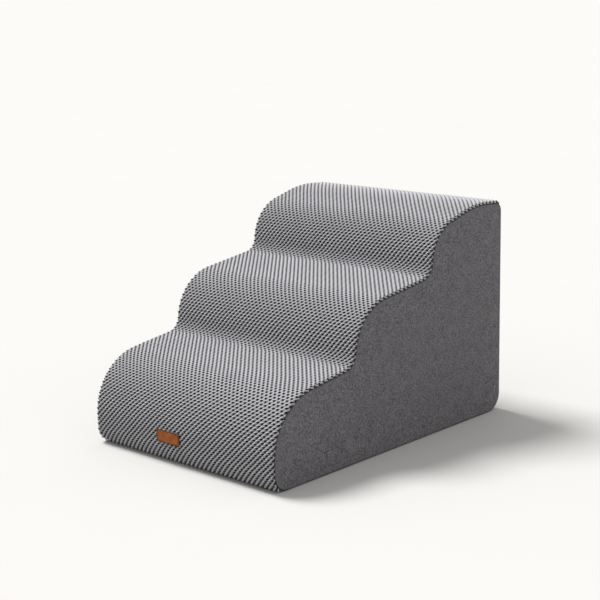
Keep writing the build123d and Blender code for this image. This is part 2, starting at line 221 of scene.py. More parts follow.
class StairsStageSettings(bpy.types.PropertyGroup):
    floor: tint("Floor", "Colour of the floor", (0.775, 0.766, 0.748))
    underfoot: tint("Floor Bounce", "Colour of the light the floor sends back", (0.35, 0.347, 0.34))
    sky: amount("Soft Light", "Strength of the light from all round", 0.51)
    sky_tint: tint("Soft Light Colour", "Colour of the light from all round", (1.0, 0.995, 0.985))
    backdrop: tint("Backdrop", "Colour seen behind the floor", (0.965, 0.952, 0.926))
    key: amount("Key Light", "Strength of the soft light from above and the left", 2.8)
    key_spread: FloatProperty(
        name="Key Spread", description="How wide the key light is", default=KEY_SPREAD, subtype="ANGLE"
    )
    key_way: FloatVectorProperty(
        name="Key Direction",
        description="Where the key light stands",
        default=(-0.52, -0.06, 0.85),
        subtype="DIRECTION",
    )


class SeamLine:
    """The stair outline at the cover's seam, with its outward directions, measured along its run."""

    def __init__(self, wall_step=0.004, arc_step=0.0015):
        rows = np.array(SEAM_CORNERS)
        corners, radii = rows[:, :2], rows[:, 2]
        walls = np.roll(corners, -1, 0) - corners
        after = walls / np.linalg.norm(walls, axis=1, keepdims=True)
        before = np.roll(after, 1, 0)
        turns = np.arctan2(before[:, 0] * after[:, 1] - before[:, 1] * after[:, 0], (before * after).sum(1))
        cuts = radii * np.tan(np.abs(turns) / 2)
        points, outward, starts, ends = [], [], [], []
        for number, (radius, turn) in enumerate(zip(radii, turns)):
            along = before[number]
            first = np.array((along[1], -along[0]))
            bend = np.sign(turn) * radius
            centre = corners[number] - along * cuts[number] - bend * first
            count = max(3, math.ceil(abs(turn) * radius / arc_step))
            starts.append(len(points))
            angle = turn * np.arange(count + 1)[:, None] / count
            ways = first * np.cos(angle) + along * np.sin(angle)
            points.extend(centre + bend * ways)
            ends.append(len(points) - 1)
            last, ahead = points[-1], (number + 1) % len(corners)
            reach = np.linalg.norm(corners[ahead] - last) - cuts[ahead]
            parts = math.ceil(reach / wall_step)
            points.extend(last + after[number] * reach * np.arange(1, parts)[:, None] / parts)
            outward.extend((*ways, *[ways[-1]] * (parts - 1)))
        self.points = np.array(points)
        self.outward = np.array(outward)
        steps = np.linalg.norm(np.roll(self.points, -1, 0) - self.points, axis=1)
        self.run = np.concatenate(((0.0,), np.cumsum(steps)))
        self.length = self.run[-1]
        self.top_seam = SEAM_CORNERS[0][2] * TOP_SEAM_TURN
        self.front_seam = self.run[starts[FRONT_FOOT]] + SEAM_CORNERS[FRONT_FOOT][2] * FRONT_SEAM_TURN
        self.back_seam = self.run[starts[BACK_FOOT]] + SEAM_CORNERS[BACK_FOOT][2] * BACK_SEAM_TURN
        self.back_wall = self.run[ends[BACK_FOOT]]

    def at(self, run):
        """Places and outward directions at distances along the run."""
        rows = np.hstack((self.points, self.outward))
        rows = np.vstack((rows, rows[:1])).T
        run = np.mod(run, self.length)
        found = np.stack([np.interp(run, self.run, row) for row in rows], -1)
        place, way = found[..., :2], found[..., 2:]
        return place, way / np.linalg.norm(way, axis=-1, keepdims=True)

    def back_run(self, height):
        """Distance along the run of a height on the back."""
        return self.back_wall + height - SEAM_CORNERS[BACK_FOOT][2]


seam_line = SeamLine()


def add_object(name, data):
    """A new object in the scene."""
    added = bpy.data.objects.new(name, data)
    bpy.context.scene.collection.objects.link(added)
    return added


def add_piece(name, mesh):
    """A finished piece in the scene, riding on the stairs."""
    piece = add_object(name, mesh)
    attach(piece, "stairs")
    return piece


def mesh_from(shape, name, smooth=True):
    """A mesh from a bmesh, which it frees."""
    mesh = bpy.data.meshes.new(name)
    shape.to_mesh(mesh)
    shape.free()
    mesh.polygons.foreach_set("use_smooth", [smooth] * len(mesh.polygons))
    if smooth:
        mesh.set_sharp_from_angle(angle=math.radians(40))
    return mesh


def modifier(piece, kind, name, **settings):
    """Adds a modifier and sets its values."""
    added = piece.modifiers.new(name, kind)
    for key, value in settings.items():
        setattr(added, key, value)
    return added


def places(mesh):
    """A mesh's vertices as rows of X, Y and Z."""
    flat = np.empty(len(mesh.vertices) * 3, np.float32)
    mesh.vertices.foreach_get("co", flat)
    return flat.reshape(-1, 3).astype(float)


def move_to(mesh, spots):
    """Moves a mesh's vertices to new places."""
    mesh.vertices.foreach_set("co", spots.astype(np.float32).ravel())
    mesh.update()


def mark(mesh, name, values):
    """Keeps a value for each point of a mesh, for its finish."""
    kept = mesh.attributes.new(name, "FLOAT", "POINT")
    kept.data.foreach_set("value", values.astype(np.float32))


def mark_seams(mesh, from_seam, run, settings):
    """Marks how near each place is to a seam, and how far along it, for painted seam shade and puckers."""
    mark(mesh, "seam", np.clip(1.25 - from_seam / settings.seam_width, 0, 1))
    mark(mesh, "hem", np.clip(1 - from_seam / settings.hem_width, 0, 1))
    mark(mesh, "run", run)


def add_thread(shape, place, size, slant=0.0, around=6, along=5):
    """A plump stitch at a place, leaning in the cloth by an angle."""
    lying = Matrix.Rotation(slant, 4, "Y") @ Matrix.Diagonal((*size, 1))
    bmesh.ops.create_uvsphere(
        shape, u_segments=around, v_segments=along, radius=1, matrix=Matrix.Translation(place) @ lying
    )


def cloth_net(across, along):
    """A flat net with the cloth's own map, from 0 to 1 across and along."""
    shape = bmesh.new()
    shape.loops.layers.uv.new(CLOTH_MAP)
    bmesh.ops.create_grid(shape, x_segments=across, y_segments=along, size=1, calc_uvs=True)
    return shape


def net_shares(mesh):
    """How far across and how far along its flat net each point of a mesh is, from 0 to 1."""
    flat = places(mesh)
    return (flat[:, 0] + 1) / 2, (flat[:, 1] + 1) / 2


def wrap_net(mesh, first_run, last_run, stand_off, roll, rise=0.0):
    """Lays a net over the stairs between two distances along the seam line, its sides rolled into the
    side seams. rise is how far each point stands out. It returns the net's width and how far along
    it each point is."""
    across, along = net_shares(mesh)
    rim = HALF_WIDTH - roll
    half_cloth = rim + roll * ROLL_TURN
    walk = (across * 2 - 1) * half_cloth
    bend = np.clip(np.abs(walk) - rim, 0, None) / roll
    place, way = seam_line.at(first_run + (last_run - first_run) * along)
    height = stand_off - roll + (roll + rise) * np.cos(bend)
    reach = np.minimum(np.abs(walk), rim) + (roll + rise) * np.sin(bend)
    lifted = place + way * height[:, None]
    move_to(mesh, np.column_stack((np.sign(walk) * reach, lifted)))
    return half_cloth * 2, along


def settle(mesh, from_seam, settings):
    """How a cloth's points move when the foam presses it out against its seams, by cloth simulation.
    from_seam is each point's distance to a seam: points on it are held, and a little slack lies
    beside it."""
    start = places(mesh)
    scene = bpy.context.scene
    cloth = add_object("settling_cloth", mesh.copy())
    held = cloth.vertex_groups.new(name="held")
    held.add(np.flatnonzero(from_seam < HELD_WIDTH).tolist(), 1.0, "REPLACE")
    slack = cloth.vertex_groups.new(name="slack")
    for number in np.flatnonzero(from_seam < settings.slack_width).tolist():
        slack.add([number], 1 - from_seam[number] / settings.slack_width, "REPLACE")
    press = modifier(cloth, "CLOTH", "press")
    press.settings.quality = 6
    press.settings.vertex_group_mass = "held"
    press.settings.vertex_group_shrink = "slack"
    press.settings.shrink_max = -settings.slack
    press.settings.use_pressure = True
    press.settings.uniform_pressure_force = settings.pressure
    press.settings.effector_weights.gravity = 0
    press.point_cache.frame_end = LAST_FRAME
    for number in range(1, LAST_FRAME + 1):
        scene.frame_set(number)
    settled = cloth.evaluated_get(bpy.context.evaluated_depsgraph_get())
    moves = places(settled.data) - start
    reach = np.linalg.norm(moves, axis=1, keepdims=True)
    scene.frame_set(1)
    bpy.data.objects.remove(cloth)
    return moves * settings.swell / (settings.swell + reach)


def face_outwards(mesh, first_run, last_run):
    """Turns an open net's faces to the outside, by the face nearest to the stairs' middle."""
    middle = min(mesh.polygons, key=lambda face: face.center.x**2 + (face.center.z - MIDDLE_HEIGHT) ** 2)
    place, way = seam_line.at(np.linspace(first_run, last_run, 401))
    nearest = np.argmin(((place - np.array(middle.center[1:])) ** 2).sum(1))
    if way[nearest] @ np.array(middle.normal[1:]) < 0:
        mesh.flip_normals()


# Materials


class Nodes:
    """A tree's nodes, added one after another and joined as they are named."""

    def __init__(self, tree):
        self.tree = tree
        tree.nodes.clear()

    def add(self, kind, inputs=None, **settings):
        node = self.tree.nodes.new(kind)
        for key, value in settings.items():
            setattr(node, key, value)
        for key, value in (inputs or {}).items():
            self.put(node.inputs[key], value)
        return node

    def put(self, socket, value):
        if isinstance(value, bpy.types.NodeSocket):
            self.tree.links.new(value, socket)
        elif isinstance(value, bpy.types.Node):
            self.tree.links.new(value.outputs[0], socket)
        else:
            socket.default_value = value

    def maths(self, operation, *values, clamp=False):
        node = self.add("ShaderNodeMath", operation=operation, use_clamp=clamp)
        for socket, value in zip(node.inputs, values):
            self.put(socket, value)
        return node.outputs[0]

    def times(self, first, second):
        return self.maths("MULTIPLY", first, second)

    def total(self, *parts):
        """The sum of values, each times its weight."""
        value = 0.0
        for part, weight in parts:
            value = self.maths("MULTIPLY_ADD", part, weight, value)
        return value

    def wave(self, phase):
        """A wave from 0 to 1 with its top where the phase is whole."""
        angle = self.times(phase, 2 * math.pi)
        return self.maths("MULTIPLY_ADD", self.maths("COSINE", angle), 0.5, 0.5)

    def seen(self):
        """1 where the stage is seen, also in a reflection or through glass, and 0 where it lights."""
        path = self.add("ShaderNodeLightPath").outputs
        direct = self.maths("MAXIMUM", path["Is Camera Ray"], path["Is Glossy Ray"])
        return self.maths("MAXIMUM", direct, path["Is Transmission Ray"])


class Finish(Nodes):
    """A material of one shader and the nodes that feed it."""

    def __init__(self, name):
        self.material = bpy.data.materials.new(name)
        self.material.use_nodes = True
        super().__init__(self.material.node_tree)
        self.shader = self.add("ShaderNodeBsdfPrincipled")
        self.add("ShaderNodeOutputMaterial", {"Surface": self.shader})

    def mix(self, share, first, second):
        node = self.add("ShaderNodeMix", {0: share, 6: first, 7: second}, data_type="RGBA")
        return node.outputs[2]

    def place(self):
        return self.add("ShaderNodeTexCoord").outputs["Object"]

    def marked(self, name):
        node = self.add("ShaderNodeAttribute", attribute_name=name, attribute_type="GEOMETRY")
        return node.outputs["Fac"]

    def noise(self, scale, detail=2.0, place=None, roughness=0.5):
        inputs = {"Vector": place or self.place(), "Scale": scale, "Detail": detail, "Roughness": roughness}
        return self.add("ShaderNodeTexNoise", inputs).outputs[0]

    def ramp(self, value, *stops):
        node = self.add("ShaderNodeValToRGB", {0: value})
        stops_made = node.color_ramp.elements
        while len(stops_made) < len(stops):
            stops_made.new(0.5)
        for made, (position, colour) in zip(stops_made, stops):
            made.position = position
            made.color = (*colour, 1)
        return node.outputs[0]

    def bump(self, height, distance, strength):
        inputs = {"Height": height, "Strength": strength, "Distance": distance}
        self.set(Normal=self.add("ShaderNodeBump", inputs))

    def set(self, **values):
        for key, value in values.items():
            self.put(self.shader.inputs[key.replace("_", " ")], value)


def shade(colour, share):
    """A colour made darker or lighter by a share."""
    return tuple(min(1.0, value * share) for value in colour)


def knit_finish(settings):
    """Light plump cords over a dark base yarn that shows in the pits, and painted shade in grooves and
    waists.
    """
    finish = Finish("grey_knit")
    column, row = finish.marked("column"), finish.marked("row")
    cord = finish.maths("MULTIPLY_ADD", row, 0.5, column)
    turn = finish.times(cord, 2 * math.pi)
    # The lean shifts the valley and its painted shade onto each cord's right flank, away from the key light
    lean = finish.times(finish.maths("COSINE", turn), -settings.cord_lean)
    lean = finish.maths("ADD", finish.maths("ADD", turn, lean), settings.cord_lean)
    valley = finish.maths("MULTIPLY_ADD", finish.maths("COSINE", lean), 0.5, 0.5)
    gap = finish.wave(row)
    pit = finish.maths("POWER", gap, PIT_HEIGHT_POWER)
    pit = finish.times(finish.maths("POWER", valley, PIT_WIDTH_POWER), pit)
    # Dark yarn in the pits, spread as painted shade down the flanks of the grains round them
    inputs = {"Value": pit, "From Min": PIT_START, "From Max": PIT_END}
    pit = finish.add("ShaderNodeMapRange", inputs, interpolation_type="SMOOTHSTEP")
    # Painted shade in the grooves between cords and at the waists between grains
    groove = finish.times(finish.maths("POWER", valley, GROOVE_POWER), GROOVE_PAINTED_SHADE)
    between, ridge = finish.maths("SUBTRACT", 1.0, gap), finish.maths("SUBTRACT", 1.0, valley)
    waist = finish.maths("POWER", finish.times(between, ridge), WAIST_POWER)
    waist = finish.times(waist, WAIST_PAINTED_SHADE)
    # Where the dark colour goes: the pits' yarn with its painted shade, and the painted shade of grooves
    # and waists
    dark = finish.maths("MAXIMUM", pit, finish.maths("ADD", groove, waist), clamp=True)
    fleck, cloud = finish.noise(1500.0), finish.noise(24.0)
    blend = finish.total((fleck, 0.9), (cloud, 0.2))
    yarn = finish.ramp(blend, (0.38, settings.yarn_shade), (0.72, settings.yarn))
    colour = finish.mix(dark, yarn, (*settings.ground_and_shade, 1))
    strands = finish.wave(finish.times(cord, 7.0))
    twist = finish.wave(finish.total((cord, 5.0), (row, 3.0)))
    finish.bump(finish.total((twist, 0.3), (strands, 0.5), (fleck, 0.6)), 0.0003, 0.7)
    finish.set(Base_Color=colour, Roughness=0.92, Specular_IOR_Level=0.2)
    finish.set(Sheen_Weight=0.15, Sheen_Roughness=0.6)
    return finish.material


def melange_finish(name, settings, *axes):
    """A matte plain weave of dark and light threads along two axes, with soft mottling."""
    finish = Finish(name)
    place = finish.place()
    split = finish.add("ShaderNodeSeparateXYZ", {0: place}).outputs
    threads, crossings, slubs = [], [], []
    for axis in axes:
        threads.append(finish.wave(finish.times(split[axis], WEAVE_SCALE)))
        crossing = finish.times(split[axis], math.pi * WEAVE_SCALE)
        crossings.append(finish.maths("SINE", crossing))
        scale = [SLUB_ACROSS] * 3
        scale[axis] = SLUB_ALONG
        slub = finish.add("ShaderNodeMapping", {"Vector": place, "Scale": scale})
        slubs.append(finish.noise(1.0, place=slub))
    over = finish.maths("MULTIPLY_ADD", finish.times(*crossings), 0.5, 0.5)
    slub = finish.maths("ADD", *slubs)
    fine = finish.noise(560.0, 4.0, place, 0.7)
    cloud = finish.noise(55.0, 3.0, place)
    speck = finish.noise(450.0, 1.0, place)
    blend = finish.total((fine, 0.35), (slub, 0.24), (speck, 0.32), (cloud, 0.10), (over, 0.04))
    middle = tuple((dark + light) / 2 for dark, light in zip(settings.dark, settings.light))
    colour = finish.ramp(blend, (0.56, settings.dark), (0.65, middle), (0.74, settings.light))
    seam, hem, run = finish.marked("seam"), finish.marked("hem"), finish.marked("run")
    # Painted shade in a thin line along each seam
    colour = finish.mix(finish.times(seam, 0.9), colour, (*settings.seam, 1))
    wander = finish.times(finish.noise(30.0, 1.0, place), 1.5)
    pucker = finish.wave(finish.maths("MULTIPLY_ADD", run, 1 / settings.pucker_pitch, wander))
    pucker = finish.times(pucker, hem)
    weave = finish.maths("ADD", *threads)
    finish.bump(finish.total((over, 1.0), (weave, 0.5), (fine, 1.2), (pucker, 2.5)), 0.0002, 0.8)
    finish.set(Base_Color=colour, Roughness=0.9, Specular_IOR_Level=0.2)
    finish.set(Sheen_Weight=0.1, Sheen_Roughness=0.5)
    return finish.material


def plain_finish(name, colour, roughness, scale, depth, variation, **more):
    """A finish whose tone and surface vary a little with a fine grain."""
    finish = Finish(name)
    grain = finish.noise(scale, 4.0, roughness=0.6)
    blend = finish.total((finish.noise(scale / 12), 0.5), (grain, 0.5))
    tone = finish.ramp(blend, (0.3, shade(colour, 1 - variation)), (0.7, shade(colour, 1 + variation)))
    inputs = {"Value": grain, "To Min": roughness - 0.08, "To Max": roughness + 0.08}
    finish.set(Base_Color=tone, Roughness=finish.add("ShaderNodeMapRange", inputs), **more)
    finish.bump(grain, depth, 0.6)
    return finish.material


def leather_finish(name, colour):
    """Satin leather with a fine pebbled grain and darker creases."""
    finish = Finish(name)
    place = finish.place()
    inputs = {"Vector": place, "Scale": 900.0}
    pebbles = finish.add("ShaderNodeTexVoronoi", inputs, feature="SMOOTH_F1").outputs[0]
    blend = finish.total((pebbles, -0.35), (finish.noise(90.0, 3.0, place), 0.9))
    tone = finish.ramp(blend, (0.05, shade(colour, 0.55)), (0.55, shade(colour, 1.35)))
    finish.set(Base_Color=tone, Roughness=0.5, Specular_IOR_Level=0.3)
    finish.bump(pebbles, 0.0002, -0.5)
    return finish.material


def tape_finish(colour):
    """Woven zip tape with a herringbone."""
    finish = Finish("zip_tape_weave")
    split = finish.add("ShaderNodeSeparateXYZ", {0: finish.place()}).outputs
    slant = finish.maths("ADD", split[0], finish.maths("PINGPONG", split[2], 0.0016))
    ribs = finish.wave(finish.times(slant, 1500.0))
    blend = finish.total((finish.noise(1200.0), 0.5), (ribs, 0.4))
    tone = finish.ramp(blend, (0.2, shade(colour, 0.5)), (0.7, shade(colour, 1.7)))
    finish.set(Base_Color=tone, Roughness=0.9)
    finish.bump(ribs, 0.0002, 0.6)
    return finish.material


def wear(node_names, material):
    """Gives CAD nodes that keep their shape a better finish."""
    for name in node_names:
        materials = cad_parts[name].data.materials
        materials.clear()
        materials.append(material)


# The pieces


def knit_grain(settings, across, along):
    """The knit's column and row at places across and along the cloth. Both lean on the stairs' front."""
    run_length = seam_line.front_seam - seam_line.top_seam
    width = 2 * HALF_WIDTH
    part = np.linspace(0, 1, 400)
    run = seam_line.top_seam + run_length * part
    columns_lean, rows_lean = (
        np.tan(np.radians(np.interp(run, *np.transpose(leans)))) for leans in (COLUMN_LEANS, ROW_LEANS)
    )
    drift = np.cumsum(columns_lean) * run_length / len(part)
    column = settings.columns * (across + np.interp(along, part, drift) / width)
    fall = np.interp(along, part, rows_lean) * (across - 0.5) * width
    return column, settings.rows * (along - fall / run_length)


def knit_relief(settings, column, row, along):
    """How far the knit's cords, grooves and pits stand out or in."""
    turn = 2 * np.pi * (column + row / 2)
    valley = 0.5 + 0.5 * np.cos(turn + settings.cord_lean * (1 - np.cos(turn)))
    gap = 0.5 + 0.5 * np.cos(2 * np.pi * row)
    plump = (1 - valley) ** PLUMPNESS
    rise = settings.crown - settings.groove_depth * (1 - plump)
    rise -= settings.waist_depth * (1 - gap**PLUMPNESS) * plump
    rise -= (settings.pit_depth - settings.groove_depth) * (valley * gap) ** 2
    ease = np.clip(np.minimum(along, 1 - along) * settings.rows / END_ROWS, 0, 1)
    sink = (1 - ease) ** 2 * (settings.thickness - END_THICKNESS)
    return rise * (END_RELIEF + (1 - END_RELIEF) * ease) - sink


class STAIRS_OT_foam(bpy.types.Operator):
    """The firm core and the soft comfort foam glued over its steps, both inside the cover"""

    bl_idname = "stairs.foam"
    bl_label = "Foam"

    def execute(self, context):
        for name, node, slot, colour, depth, hollow in (
            ("foam_core_block", "foam_core", "foam_firm", (0.80, 0.77, 0.66), SOFT_FOAM_DEPTH, False),
            ("comfort_foam", "comfort_layer", "foam_soft", (0.88, 0.87, 0.80), FOAM_GAP, True),
        ):
            mesh = self.block(name, depth, hollow)
            piece = add_piece(name, mesh)
            mesh.materials.append(plain_finish(name + "_cells", colour, 0.95, 700.0, 0.0006, 0.12))
            edge = {"width": 0.003, "segments": 2, "limit_method": "ANGLE", "angle_limit": 0.9}
            modifier(piece, "BEVEL", "soft_edge", **edge)
            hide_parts(node)
        return {"FINISHED"}

    def inside(self, first, last, count, depth):
        """Places between two distances along the seam line, at a depth inside it."""
        place, way = seam_line.at(np.linspace(first, last, count))
        return list(place - way * depth)

    def block(self, name, depth, hollow):
        """A foam block cut to the stair outline, or the layer over its steps."""
        top, front, back = seam_line.top_seam, seam_line.front_seam, seam_line.back_seam
        points = self.inside(top, front, 160, depth)
        if hollow:
            points += self.inside(top, front, 160, SOFT_FOAM_DEPTH - FOAM_GAP)[::-1]
        else:
            points += self.inside(front, back, 8, FOAM_BASE_GAP)[1:]
            points += self.inside(back, seam_line.length, 12, FOAM_BACK_GAP)[1:]
        shape = bmesh.new()
        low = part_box("base_panel")[0].z + FOAM_LIFT
        corners = [shape.verts.new((-FOAM_HALF_WIDTH, y, max(z, low))) for y, z in points]
        face = shape.faces.new(corners)
        raised = bmesh.ops.extrude_face_region(shape, geom=[face])
        moved = [item for item in raised["geom"] if isinstance(item, bmesh.types.BMVert)]
        bmesh.ops.translate(shape, verts=moved, vec=(FOAM_HALF_WIDTH * 2, 0, 0))
        bmesh.ops.recalc_face_normals(shape, faces=shape.faces[:])
        return mesh_from(shape, name, smooth=False)


class STAIRS_OT_tread_knit(bpy.types.Operator):
    """The thick knit panel over the treads and risers, with its cords and pits"""

    bl_idname = "stairs.tread_knit"
    bl_label = "Tread Knit"

    def execute(self, context):
        settings = context.scene.stairs_knit
        shape = cloth_net(settings.columns * KNIT_NET, settings.rows * KNIT_NET)
        self.line_inside(shape)
        mesh = mesh_from(shape, "tread_knit")
        across, along = net_shares(mesh)
        column, row = knit_grain(settings, across, along)
        mark(mesh, "column", column)
        mark(mesh, "row", row)
        rise = knit_relief(settings, column, row, along)
        first, last = seam_line.top_seam, seam_line.front_seam
        wrap_net(mesh, first, last, settings.thickness, settings.edge_roll, rise)
        self.close(mesh)
        piece = add_piece("tread_knit", mesh)
        mesh.materials.append(knit_finish(settings))
        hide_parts("tread_panel")
        return {"FINISHED"}

    def line_inside(self, shape):
        """A plain lining joined to the net's two long sides, with its own strip of the map."""
        cloth_map = shape.loops.layers.uv[CLOTH_MAP]
        for face in shape.faces:
            for loop in face.loops:
                loop[cloth_map].uv.y *= KNIT_SHARE
        rims = [edge for edge in shape.edges if edge.is_boundary]
        sides = [edge for edge in rims if abs(edge.verts[0].co.x + edge.verts[1].co.x) > 1.999]
        for edge in sides:
            edge.smooth = False
        lining = bmesh.ops.bridge_loops(shape, edges=sides)["faces"]
        for face in lining:
            face.smooth = False
            for loop in face.loops:
                spot = loop.vert.co
                loop[cloth_map].uv = ((spot.y + 1) / 2, LINING_LOW if spot.x < 0 else LINING_HIGH)

    def close(self, mesh):
        """Closes both of the knit's ends and turns its faces outwards."""
        shape = bmesh.new()
        shape.from_mesh(mesh)
        ends = [edge for edge in shape.edges if edge.is_boundary]
        bmesh.ops.holes_fill(shape, edges=ends, sides=0)
        bmesh.ops.recalc_face_normals(shape, faces=shape.faces[:])
        shape.to_mesh(mesh)
        shape.free()


class STAIRS_OT_side_panels(bpy.types.Operator):
    """The plain woven cloth on both sides, rolled into its seam all round"""

    bl_idname = "stairs.side_panels"
    bl_label = "Side Panels"

    def execute(self, context):
        settings = context.scene.stairs_cloth
        cloth = melange_finish("side_melange", settings, 1, 2)
        right, area = self.panel("side_cloth_right", settings)
        left = self.mirrored(right, "side_cloth_left")
        for side, mesh in (("left", left), ("right", right)):
            mesh.materials.append(cloth)
            piece = add_piece("side_cloth_" + side, mesh)
            modifier(piece, "SOLIDIFY", "thickness", thickness=settings.thickness, offset=-1)
            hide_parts("side_panel_" + side)
        return {"FINISHED"}

    def mirrored(self, mesh, name):
        """The same cloth for the other side."""
        shape = bmesh.new()
        shape.from_mesh(mesh)
        bmesh.ops.scale(shape, vec=(-1, 1, 1), verts=shape.verts[:])
        bmesh.ops.reverse_faces(shape, faces=shape.faces[:])
        return mesh_from(shape, name)

    def panel(self, name, settings):
        """The right side: the outline filled, its edge rolled inwards, cut into a net and settled."""
        line = SeamLine(wall_step=0.007, arc_step=0.003)
        shape = bmesh.new()
        roll = settings.edge_roll
        edge = line.points - line.outward * SIDE_GAP
        face = shape.faces.new([shape.verts.new((HALF_WIDTH - roll, y, z)) for y, z in edge])
        shape.normal_update()
        if face.normal.x < 0:
            face.normal_flip()
        inset, rise = 0.0, 0.0
        for turn in map(math.radians, SIDE_ROLL_DEGREES):
            next_inset, next_rise = roll * (1 - math.cos(turn)), roll * math.sin(turn)
            bmesh.ops.inset_region(
                shape,
                faces=[face],
                thickness=next_inset - inset,
                depth=next_rise - rise,
                use_even_offset=True,
                use_boundary=True,
            )
            inset, rise = next_inset, next_rise
        for margin in SIDE_MARGINS:
            bmesh.ops.inset_region(shape, faces=[face], thickness=margin, use_even_offset=True)
        for axis, low, high in SIDE_CUTS:
            for part in np.arange(low, high, settings.net):
                middle, way = [0.0] * 3, [0.0] * 3
                middle[axis], way[axis] = part, 1.0
                flat = [one for one in shape.faces if one.calc_center_median().x > HALF_WIDTH - 1e-5]
                edges = {item for one in flat for item in one.edges}
                verts = {item for one in flat for item in one.verts}
                bmesh.ops.bisect_plane(
                    shape, geom=[*flat, *edges, *verts], dist=1e-6, plane_co=middle, plane_no=way
                )
        area = sum(one.calc_area() for one in shape.faces)
        mesh = mesh_from(shape, name)
        spots = places(mesh)
        gaps = np.linalg.norm(spots[:, None, 1:] - edge[None], axis=2)
        from_seam = gaps.min(1)
        mark_seams(mesh, from_seam, line.run[:-1][gaps.argmin(1)], settings)
        move_to(mesh, spots + settle(mesh, from_seam - roll, settings))
        return mesh, area


class STAIRS_OT_back_panels(bpy.types.Operator):
    """The woven back above and below the zip"""

    bl_idname = "stairs.back_panels"
    bl_label = "Back Panels"

    def execute(self, context):
        settings = context.scene.stairs_cloth
        cloth = melange_finish("back_melange", settings, 0, 2)
        opening = ZIP_OPENING / 2
        lower = seam_line.back_seam, seam_line.back_run(ZIP_HEIGHT - opening)
        upper = seam_line.back_run(ZIP_HEIGHT + opening), seam_line.length + seam_line.top_seam
        for half, (first, last) in (("lower", lower), ("upper", upper)):
            along = max(10, math.ceil((last - first) / 0.004))
            mesh = mesh_from(cloth_net(100, along), "back_cloth_" + half)
            width, share = wrap_net(mesh, first, last, 0.0, settings.edge_roll)
            face_outwards(mesh, first, last)
            spots = places(mesh)
            from_side = np.clip(HALF_WIDTH - np.abs(spots[:, 0]), 0, None)
            mark_seams(mesh, from_side, spots[:, 2], settings)
            if half == "upper":
                from_end = np.minimum(share, 1 - share) * (last - first)
                move_to(mesh, spots + settle(mesh, np.minimum(from_side, from_end), settings))
            mesh.materials.append(cloth)
            piece = add_piece(mesh.name, mesh)
            modifier(piece, "SOLIDIFY", "thickness", thickness=BACK_THICKNESS, offset=-1)
            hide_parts("back_panel_" + half)
        return {"FINISHED"}


class STAIRS_OT_base_panel(bpy.types.Operator):
    """The dark cloth underneath, with its printed grip dots"""

    bl_idname = "stairs.base_panel"
    bl_label = "Base Panel"

    def execute(self, context):
        settings = context.scene.stairs_cloth
        first, last = seam_line.front_seam, seam_line.back_seam
        mesh = mesh_from(cloth_net(100, 140), "base_cloth")
        width, _ = wrap_net(mesh, first, last, -BASE_SINK, settings.edge_roll)
        face_outwards(mesh, first, last)
        mesh.materials.append(plain_finish("base_weave", settings.base, 0.85, 900.0, 0.0004, 0.4))
        piece = add_piece("base_cloth", mesh)
        modifier(piece, "SOLIDIFY", "thickness", thickness=BASE_THICKNESS, offset=-1)
        dots = self.dots(settings)
        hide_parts("base_panel")
        return {"FINISHED"}

    def dots(self, settings):
        """Small flat-topped dots in staggered rows."""
        shape = bmesh.new()
        row_pitch = settings.dot_pitch * math.sin(math.radians(60))
        columns, rows = int(DOT_FIELD[0] / settings.dot_pitch), int(DOT_FIELD[1] / row_pitch)
        for row in range(rows):
            for column in range(columns):
                x = (column - (columns - 1) / 2 + (0.25 if row % 2 else -0.25)) * settings.dot_pitch
                y = (row - (rows - 1) / 2) * row_pitch
                bmesh.ops.create_cone(
                    shape,
                    cap_ends=True,
                    segments=8,
                    radius1=settings.dot_radius * 0.7,
                    radius2=settings.dot_radius,
                    depth=settings.dot_height,
                    matrix=Matrix.Translation((x, y, settings.dot_height / 2)),
                )
        mesh = mesh_from(shape, "grip_dots", smooth=False)
        mesh.materials.append(plain_finish("silicone_dots", (0.06, 0.06, 0.062), 0.45, 500.0, 0.0001, 0.1))
        return add_piece("grip_dots", mesh)


